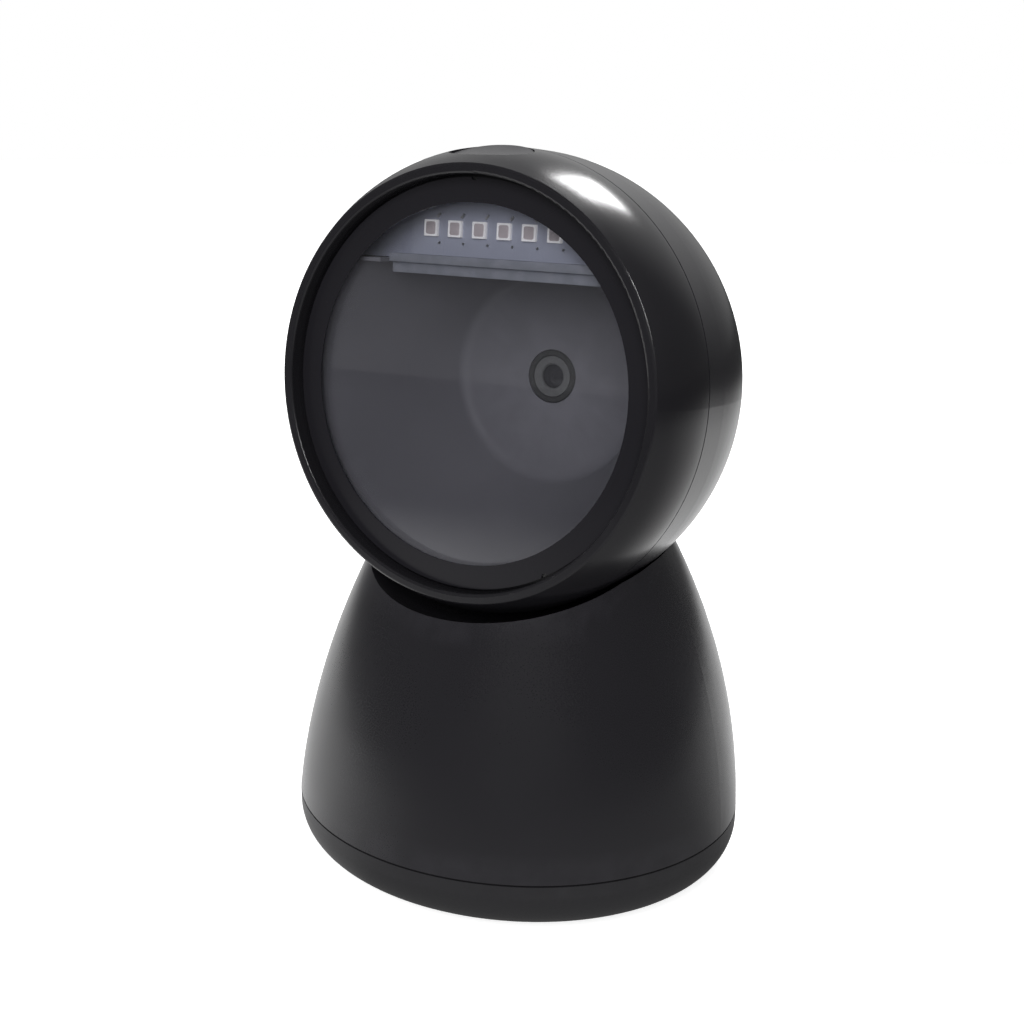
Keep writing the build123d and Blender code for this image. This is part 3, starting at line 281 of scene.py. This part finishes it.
def moulded(name, tone, roughness, texture_mm, depth_mm, cast=0.03, wear=0.3):
    """Moulded plastic: fine spark texture, slow tone and gloss drift, paler rubbed edges, a little dust."""
    n = Nodes(name)
    drift = n.noise(DRIFT_SCALE, 2.0)
    fine = n.noise(1000.0 / texture_mm, 4.0, 0.62)
    pits = n.cells(700.0 / texture_mm)
    edge = n.span(n.make("ShaderNodeNewGeometry").outputs["Pointiness"], *CONVEX, 0.0, wear)
    rubbed = n.maths("MULTIPLY", edge, n.span(n.noise(RUB_SCALE, 4.0), 0.35, 0.7, 0.2, 1.0))
    dust = n.span(n.noise(DUST_SCALE, 5.0, 0.7), 0.70, 0.78, 0.0, 0.25)
    base = n.blend(drift, grey(tone * 0.86, cast), grey(tone * 1.14, cast))
    base = n.blend(rubbed, base, grey(tone * 2.6, cast))
    base = n.blend(dust, base, grey(tone * 1.9 + 0.01))
    gloss = n.span(drift, 0.3, 0.7, roughness * 0.92, roughness * 1.08)
    grain = n.maths("MULTIPLY", n.maths("SUBTRACT", fine, 0.5), roughness * 0.35)
    gloss = n.maths("ADD", gloss, grain, clamp=True)
    height = n.maths("ADD", fine, n.maths("MULTIPLY", pits, 0.6))
    normal = n.bump(height, 1.0, depth_mm)
    return n.done(n.surface(Base_Color=base, Roughness=gloss, Normal=normal, IOR=PLASTIC_IOR))


def metal(name, tone, roughness, scratch=900.0, cast=0.0):
    """Plated or turned metal with fine streaks and a little tarnish."""
    n = Nodes(name)
    streak = n.noise(scratch, 2.0, 0.5)
    stain = n.span(n.noise(STAIN_SCALE, 4.0), 0.45, 0.75, 0.0, 0.5)
    base = n.blend(stain, grey(tone, cast), grey(tone * 0.55, cast))
    gloss = n.span(streak, 0.3, 0.7, roughness * 0.7, roughness * 1.4)
    normal = n.bump(streak, 0.6, 0.01)
    return n.done(n.surface(Base_Color=base, Metallic=1.0, Roughness=gloss, Normal=normal))


def tinted(name, first, second, roughness, scale=400.0, depth_mm=0.01, specular=0.5, glow=0.0):
    """Two-tone plastic, board or rubber from fine noise; glow is painted light, an emission that brightens it
    though it is no lamp.
    """
    n = Nodes(name)
    pattern = n.noise(scale, 4.0, 0.6)
    base = n.blend(n.span(pattern, 0.3, 0.7, 0.0, 1.0), first, second)
    gloss = n.span(pattern, 0.3, 0.7, roughness * 0.85, min(1.0, roughness * 1.15))
    normal = n.bump(pattern, 0.7, depth_mm)
    return n.done(n.surface(Base_Color=base, Roughness=gloss, Normal=normal, Specular_IOR_Level=specular,
                            Emission_Color=base, Emission_Strength=glow))


def clear_sheet(name, tint, haze, smear):
    """Thin clear sheet: see-through, with a mirror that grows at a glance, a faint haze and wipe marks."""
    n = Nodes(name)
    fresnel = n.make("ShaderNodeFresnel", IOR=SHEET_IOR).outputs["Fac"]
    marks = n.span(n.noise(SMEAR_SCALE, 5.0, 0.7), 0.5, 0.8, 0.0, smear)
    polish = n.span(marks, 0.0, max(smear, 0.001), 0.015, 0.12)
    mirror = n.simple("ShaderNodeBsdfGlossy", Color=(1, 1, 1, 1), Roughness=polish)
    through = n.simple("ShaderNodeBsdfTransparent", Color=tint)
    film = n.simple("ShaderNodeBsdfDiffuse", Color=FILM_COLOUR)
    veil = n.mixed(n.maths("ADD", marks, haze, clamp=True), through, film)
    return n.done(n.mixed(n.maths("MULTIPLY", fresnel, REFLECT_GAIN, clamp=True), veil, mirror))


# ==== materials ====
satin_black = moulded("satin_black", 0.016, 0.29, 0.30, 0.006, cast=0.08)
rear_black = moulded("rear_black", 0.016, 0.24, 0.26, 0.003, cast=0.08)
gloss_black = moulded("gloss_black", 0.014, 0.22, 0.24, 0.0020, cast=0.08, wear=0.15)
matte_black = moulded("matte_black", 0.020, 0.52, 0.35, 0.008, cast=0.05)
button_black = moulded("button_black", 0.05, 0.42, 0.30, 0.005)
foot_rubber = tinted("foot_rubber", grey(0.016), grey(0.028), 0.78, 600.0, 0.02, 0.3)
foam_black = tinted("foam_black", grey(0.008), grey(0.016), 0.9, 900.0, 0.03, 0.2)
border_ink = moulded("border_ink", 0.014, 0.2, 0.5, 0.0006, cast=0.10, wear=0.0)
funnel_grey = moulded("funnel_grey", 0.19, 0.36, 0.25, 0.004, cast=0.045, wear=0.15)
bay_grey = tinted("bay_grey", (0.36, 0.375, 0.47, 1), (0.40, 0.415, 0.51, 1), 0.55, 500.0, 0.005)
lens_black = tinted("lens_black", grey(0.055), grey(0.07), 0.5, 800.0, 0.004, 0.3)
stop_black = tinted("stop_black", grey(0.06), grey(0.08), 0.5, 800.0, 0.004, 0.3)
chip_black = tinted("chip_black", grey(0.012), grey(0.02), 0.5, 1500.0, 0.004)
resistor_grey = tinted("resistor_grey", grey(0.30), grey(0.40), 0.45, 1800.0, 0.004)
connector_ivory = tinted("connector_ivory", (0.62, 0.59, 0.5, 1), (0.7, 0.67, 0.58, 1), 0.45, 300.0, 0.004)
socket_black = tinted("socket_black", grey(0.012), grey(0.02), 0.4, 700.0, 0.004)
wire_black = tinted("wire_black", grey(0.012), grey(0.022), 0.5, 500.0, 0.01)
# the white frames of the light packages get a painted glow: emission that brightens them, though the packages
# are not lit
led_white = tinted("led_white", (0.92, 0.90, 0.90, 1), (0.96, 0.94, 0.94, 1), 0.45, 900.0, 0.002, glow=0.2)
led_gel = tinted("led_gel", (0.56, 0.49, 0.50, 1), (0.66, 0.58, 0.59, 1), 0.35, 2500.0, 0.004)
screw_zinc = metal("screw_zinc", 0.55, 0.28)
neck_steel = metal("neck_steel", 0.35, 0.34)
ballast_zinc = metal("ballast_zinc", 0.4, 0.5, 300.0)
lead_tin = metal("lead_tin", 0.65, 0.35, 1500.0)
ring_grey = tinted("ring_grey", grey(0.145), grey(0.175), 0.45, 900.0, 0.003, 0.4)
contact_gold = metal("contact_gold", 0.6, 0.25, 600.0, -0.3)
window_clear = clear_sheet("window_clear", (0.94, 0.945, 0.96, 1), 0.006, 0.01)
lens_glass = clear_sheet("lens_glass", (0.35, 0.36, 0.40, 1), 0.05, 0.0)


def frosted(name, tone, tint):
    """Clear guide with a satin skin: partly see-through, partly milky."""
    n = Nodes(name)
    body = n.surface(Base_Color=tone, Roughness=0.4, Specular_IOR_Level=0.6)
    through = n.simple("ShaderNodeBsdfTransparent", Color=tint)
    milk = n.span(n.noise(250.0, 3.0), 0.3, 0.7, 0.55, 0.75)
    return n.done(n.mixed(milk, through, body))


def board(name, first, second, line):
    """Solder mask with fine tracks."""
    n = Nodes(name)
    tracks = n.make("ShaderNodeTexWave", wave_type="BANDS", bands_direction="X", Scale=380.0, Distortion=3.0)
    n.feed(tracks, "Vector", n.place())
    n.feed(tracks, "Detail Scale", 1.5)
    lines = n.span(tracks.outputs["Fac"], 0.82, 0.9, 0.0, 0.35)
    base = n.blend(n.noise(120.0, 2.0), first, second)
    base = n.blend(lines, base, line)
    return n.done(n.surface(Base_Color=base, Roughness=0.4, Normal=n.bump(lines, 0.5, 0.02)))


frosted_bar = frosted("frosted_bar", (0.42, 0.43, 0.48, 1), (0.8, 0.84, 0.9, 1))
board_mask = board("board_mask", (0.02, 0.09, 0.05, 1), (0.03, 0.12, 0.07, 1), (0.06, 0.2, 0.12, 1))
light_mask = board("light_mask", (0.37, 0.385, 0.47, 1), (0.41, 0.425, 0.51, 1), (0.45, 0.465, 0.55, 1))

DRESSED = {
    satin_black: "base_shell",
    rear_black: "head_rear_cover",
    gloss_black: "head_front_housing",
    matte_black: "base_tray",
    button_black: "mode_button",
    foot_rubber: "foot_ring",
    foam_black: "window_adhesive_ring",
    border_ink: "window_border",
    funnel_grey: "optic_shroud",
    bay_grey: "light_reflector",
    lens_black: "lens_barrel",
    stop_black: "lens_aperture lens_holder",
    chip_black: "decoder_chips beeper button_switch image_sensor led_resistors",
    connector_ivory: "head_plug base_plug switch_plunger",
    socket_black: "cable_socket",
    wire_black: "head_harness base_harness light_cable",
    led_white: "illumination_leds",
    screw_zinc: "head_screws shroud_screws led_screws board_screws stem_screws ballast_screws tray_screws "
                "interface_screws",
    neck_steel: "neck_stem lower_shoe clamp_shoe friction_washer neck_nut",
    ballast_zinc: "ballast_plate",
    ring_grey: "lens_retainer",
    contact_gold: "socket_contacts",
    window_clear: "window_glass",
    lens_glass: "front_lens",
    frosted_bar: "light_bar",
    board_mask: "decoder_board interface_board",
    light_mask: "led_board",
}
for material, names in DRESSED.items():
    for name in names.split():
        mesh = nodes[name].data
        mesh.materials.clear()
        mesh.materials.append(material)
        for face in mesh.polygons:
            face.material_index = 0


# ==== light board: packages, their filling, and the small parts beside them ====
LED_PLACES = [((i - (LED_COUNT - 1) / 2) * LED_PITCH, LED_UP) for i in range(LED_COUNT)]
CUP_LIP = 1.22               # half side of the cup's mouth
CUP_FLOOR = 0.95
CUP_DEEP = 0.4
frames = []
fillings = []
for place in LED_PLACES:
    top = LED_AHEAD + LED_TALL
    frames.append(stack([
        (LED_HALF - 0.05, LED_HALF + 0.05, 0.1, LED_AHEAD),
        (LED_HALF, LED_HALF + 0.1, 0.15, LED_AHEAD + 0.1),
        (LED_HALF, LED_HALF + 0.1, 0.15, top - 0.08),
        (LED_HALF - 0.06, LED_HALF + 0.04, 0.12, top),
        (CUP_LIP, CUP_LIP + 0.1, 0.45, top),
        (CUP_FLOOR, CUP_FLOOR + 0.1, 0.4, top - CUP_DEEP),
    ], place))
    fillings.append(stack([
        (CUP_FLOOR, CUP_FLOOR + 0.1, 0.4, top - CUP_DEEP + 0.02),
        (CUP_LIP - 0.06, CUP_LIP + 0.04, 0.44, top - 0.1),
        (CUP_LIP - 0.2, CUP_LIP - 0.1, 0.4, top - 0.05),
        (0.4, 0.4, 0.35, top - 0.02),
    ], place))
piece("led_frames", frames, led_white, "illumination_leds")
piece("led_fillings", fillings, led_gel, "illumination_leds")

RESISTOR_AT = (1.5, 2.6)     # from the middle of each package
RESISTOR_HALF = (0.32, 0.24)
RESISTOR_TALL = 0.34
RESISTOR_TURN = 50
CAP_HALF = (0.1, 0.25)       # tinned end of a resistor
CAP_OUT = 0.41               # from the resistor's middle to the middle of its end
CAP_TALL = 0.35
PAD_AT = (1.75, -2.9)
PAD_R = 0.28
PAD_TALL = 0.3
resistors = []
caps = []
for across, up in LED_PLACES:
    spot = (across + RESISTOR_AT[0], up + RESISTOR_AT[1])
    body = block(*RESISTOR_HALF, LED_AHEAD, LED_AHEAD + RESISTOR_TALL, spot, 0.04)
    resistors.append(turned(body, RESISTOR_TURN, spot))
    for side in (-1, 1):
        end = (spot[0] + side * CAP_OUT, spot[1])
        cap = block(*CAP_HALF, LED_AHEAD, LED_AHEAD + CAP_TALL, end, 0.03)
        caps.append(turned(cap, RESISTOR_TURN, spot))
    caps.append(stack([
        (PAD_R, PAD_R, PAD_R - 0.01, LED_AHEAD),
        (PAD_R - 0.02, PAD_R - 0.02, PAD_R - 0.03, LED_AHEAD + PAD_TALL - 0.1),
        (0.15, 0.15, 0.14, LED_AHEAD + PAD_TALL),
    ], (across + PAD_AT[0], up + PAD_AT[1])))
piece("led_resistor_bodies", resistors, resistor_grey, "led_resistors")
piece("led_resistor_caps", caps, lead_tin, "led_resistors")

# ==== light guide: bar under the packages, rebated over the light board's lower edge ====
GUIDE_LEFT = -22.8
GUIDE_RIGHT = 27.6
GUIDE_EDGE = 0.12
GUIDE_PROFILE = (
    (9.8, 21.2), (12.6, 21.2), (12.6, 23.2), (14.0, 23.4), (14.0, 25.1),
    (11.05, 25.1), (11.05, 23.9), (9.8, 23.9),
)
guide = prism(GUIDE_PROFILE, GUIDE_LEFT, GUIDE_RIGHT, GUIDE_EDGE)
piece("light_guide_bar", [guide], frosted_bar, "light_bar")

# ==== decoder board: chips with their leads ====
CHIP_TALL = 1.2
CHIPS = (((-13.0, 3.0), 5.5, 5.5), ((13.0, 4.0), 4.0, 5.0))  # middle, then half sizes with the leads
LEAD_PITCH = 0.8
LEAD_REACH = 0.75
LEAD_HALF = 0.16             # half the width of a lead
LEAD_TALL = 0.3
bodies = []
leads = []
for (across, up), half_x, half_y in CHIPS:
    inner_x = half_x - LEAD_REACH
    inner_y = half_y - LEAD_REACH
    bodies.append(stack([
        (inner_x - 0.15, inner_y - 0.15, 0.2, BOARD_BACK - 0.1),
        (inner_x, inner_y, 0.25, BOARD_BACK - CHIP_TALL / 2),
        (inner_x - 0.1, inner_y - 0.1, 0.2, BOARD_BACK - CHIP_TALL + 0.05),
        (inner_x - 0.18, inner_y - 0.18, 0.15, BOARD_BACK - CHIP_TALL),
    ], (across, up)))
    for half_run, reach, swap in ((inner_x, half_y, False), (inner_y, half_x, True)):
        count = int(2 * (half_run - 0.5) / LEAD_PITCH)
        for k in range(count):
            along = (k - (count - 1) / 2) * LEAD_PITCH
            for side in (-1, 1):
                out = side * (reach - LEAD_REACH / 2 - 0.02)
                spot = (across + out, up + along) if swap else (across + along, up + out)
                half = (LEAD_REACH / 2, LEAD_HALF) if swap else (LEAD_HALF, LEAD_REACH / 2)
                leads.append(block(*half, BOARD_BACK - 0.02, BOARD_BACK - LEAD_TALL, spot, 0.04))
piece("decoder_chip_bodies", bodies, chip_black, "decoder_chips")
piece("decoder_chip_leads", leads, lead_tin, "decoder_chips")


# ==== stage, light and camera ====
# where the camera stands and where it points, in metres and from the middle of the window's rim
CAMERA_AZIMUTH = math.radians(30.745)
CAMERA_ELEVATION = math.radians(15.6)
CAMERA_ROLL = math.radians(0.263)
CAMERA_DISTANCE = 0.28765
CAMERA_LENS = 51.70
AIM_ACROSS = 0.01092
AIM_UP = -0.02420
TABLE_SIDE = Vector((-0.68, 0.73, 0.0))  # the table is brightest this way, behind and to the left
TABLE_BRIGHT = 0.30          # reflections see a white table this far out, in metres,
TABLE_DARK = 0.78            # that has faded to a dark room by here
NEAR_FLOOR = 0.15            # the floor takes faint shadows this near, and is plain white
FAR_FLOOR = 0.5              # from here on
FLOOR_GLOW = (0.74, 1.1)     # glow that the camera sees, near and far
POOL_LIGHT = (0.85, 0.03)    # light in reflections, near and far
SIDE_SPAN = (-0.5, 0.3)      # cosine of the angle from that way: dark side, bright side,
SIDE_LIGHT = (0.38, 1.45)    # and the share of the light that each reflects
FLOOR_R = 4.0
LIGHT_TARGET = Vector((0, 0, 0.08))
CEILING = Vector((-0.2, 0.70, 0.68)).normalized()  # the room is palest above and behind the object
PATCH_SPAN = (0.55, 0.95)    # cosine of the angle from there at which the patch starts and is full
ROOM_LIGHT = (0.09, 0.6)     # away from the patch, and in it


def floor_material():
    """White table: for the camera, near white with a faint shadow; in reflections, a pool of light."""
    n = Nodes("pale_floor")
    spot = n.make("ShaderNodeNewGeometry").outputs["Position"]
    length = n.make("ShaderNodeVectorMath", operation="LENGTH")
    n.feed(length, 0, spot)
    away = length.outputs["Value"]
    lit = n.simple("ShaderNodeBsdfDiffuse", Color=n.blend(n.noise(3.0, 2.0), grey(0.80), grey(0.84)))
    glow = n.simple("ShaderNodeEmission", Strength=n.span(away, NEAR_FLOOR, FAR_FLOOR, *FLOOR_GLOW))
    seen = n.make("ShaderNodeAddShader")
    n.feed(seen, 0, lit)
    n.feed(seen, 1, glow)
    pool = n.span(away, TABLE_BRIGHT, TABLE_DARK, *POOL_LIGHT, kind="SMOOTHSTEP")
    toward = n.make("ShaderNodeVectorMath", operation="DOT_PRODUCT")
    n.feed(toward, 0, spot)
    n.feed(toward, 1, TABLE_SIDE)
    side = n.maths("DIVIDE", toward.outputs["Value"], n.maths("MAXIMUM", away, 0.01))
    pool = n.maths("MULTIPLY", pool, n.span(side, *SIDE_SPAN, *SIDE_LIGHT))
    mirror = n.simple("ShaderNodeEmission", Strength=pool)
    camera_ray = n.make("ShaderNodeLightPath").outputs["Is Camera Ray"]
    return n.done(n.mixed(camera_ray, mirror, seen.outputs[0]))


floor_mesh = bmesh.new()
bmesh.ops.create_circle(floor_mesh, cap_ends=True, segments=128, radius=FLOOR_R)
floor_data = bpy.data.meshes.new("floor")
floor_mesh.to_mesh(floor_data)
floor_mesh.free()
floor = bpy.data.objects.new("floor", floor_data)
scene.collection.objects.link(floor)
floor_data.materials.append(floor_material())

rim_centre = TILT + AHEAD * RIM_AHEAD * MM
back = Vector((math.sin(CAMERA_AZIMUTH) * math.cos(CAMERA_ELEVATION),
               -math.cos(CAMERA_AZIMUTH) * math.cos(CAMERA_ELEVATION), math.sin(CAMERA_ELEVATION)))
level = Vector((math.cos(CAMERA_AZIMUTH), math.sin(CAMERA_AZIMUTH), 0))
above = back.cross(level)
right = level * math.cos(CAMERA_ROLL) + above * math.sin(CAMERA_ROLL)
top = above * math.cos(CAMERA_ROLL) - level * math.sin(CAMERA_ROLL)
camera = bpy.data.objects.new("camera", bpy.data.cameras.new("camera"))
scene.collection.objects.link(camera)
camera.data.sensor_width = 36.0
camera.data.lens = CAMERA_LENS
camera.data.clip_start = 0.01
camera.data.clip_end = 50.0
stand = Matrix((right, top, back)).transposed().to_4x4()
stand.translation = rim_centre + right * AIM_ACROSS + top * AIM_UP + back * CAMERA_DISTANCE
camera.matrix_world = stand
scene.camera = camera


def softbox(name, direction, distance, wide, tall, power, shows=True):
    """Rectangular light that faces the scanner from a direction; shows is whether surfaces mirror it."""
    light = bpy.data.lights.new(name, "AREA")
    light.shape = "RECTANGLE"
    light.size = wide
    light.size_y = tall
    light.energy = power
    lamp = bpy.data.objects.new(name, light)
    scene.collection.objects.link(lamp)
    heading = Vector(direction).normalized()
    lamp.location = LIGHT_TARGET + heading * distance
    lamp.rotation_mode = "QUATERNION"
    lamp.rotation_quaternion = heading.to_track_quat("Z", "Y")
    lamp.visible_glossy = shows
    return lamp


softbox("top_back", (0.04, 0.60, 0.80), 0.9, 0.24, 0.36, 5.5)
# this one lights only the shine along the window's rim
edge_light = softbox("rim_edge", (0.75, -0.35, 0.56), 1.0, 0.14, 0.30, 4.0)
edge_light.visible_diffuse = False
rim_only = bpy.data.collections.new("rim_only")
rim_only.objects.link(nodes["head_front_housing"])
edge_light.light_linking.receiver_collection = rim_only
softbox("front_fill", (0.35, -0.85, 0.45), 1.1, 0.8, 0.8, 11.0, shows=False)
softbox("left_fill", (-0.75, -0.45, 0.6), 1.1, 0.6, 0.6, 2.0, shows=False)


def studio_world():
    """White backdrop for the camera, and a dim room with a pale patch for everything else."""
    world = bpy.data.worlds.new("studio")
    scene.world = world
    world.use_nodes = True
    tree = world.node_tree
    tree.nodes.clear()
    out = tree.nodes.new("ShaderNodeOutputWorld")
    path = tree.nodes.new("ShaderNodeLightPath")
    room = tree.nodes.new("ShaderNodeBackground")
    where = tree.nodes.new("ShaderNodeTexCoord")
    facing = tree.nodes.new("ShaderNodeVectorMath")
    facing.operation = "DOT_PRODUCT"
    tree.links.new(where.outputs["Generated"], facing.inputs[0])
    facing.inputs[1].default_value = CEILING
    ramp = tree.nodes.new("ShaderNodeMapRange")
    ramp.interpolation_type = "SMOOTHSTEP"
    tree.links.new(facing.outputs["Value"], ramp.inputs["Value"])
    for socket, number in zip(("From Min", "From Max", "To Min", "To Max"), PATCH_SPAN + ROOM_LIGHT):
        ramp.inputs[socket].default_value = number
    tree.links.new(ramp.outputs["Result"], room.inputs["Strength"])
    backdrop = tree.nodes.new("ShaderNodeBackground")
    for shade in (room, backdrop):
        shade.inputs["Color"].default_value = (1, 1, 1, 1)
    mix = tree.nodes.new("ShaderNodeMixShader")
    tree.links.new(path.outputs["Is Camera Ray"], mix.inputs[0])
    tree.links.new(room.outputs[0], mix.inputs[1])
    tree.links.new(backdrop.outputs[0], mix.inputs[2])
    tree.links.new(mix.outputs[0], out.inputs["Surface"])


studio_world()
scene.view_settings.view_transform = "Standard"
scene.view_settings.look = "None"
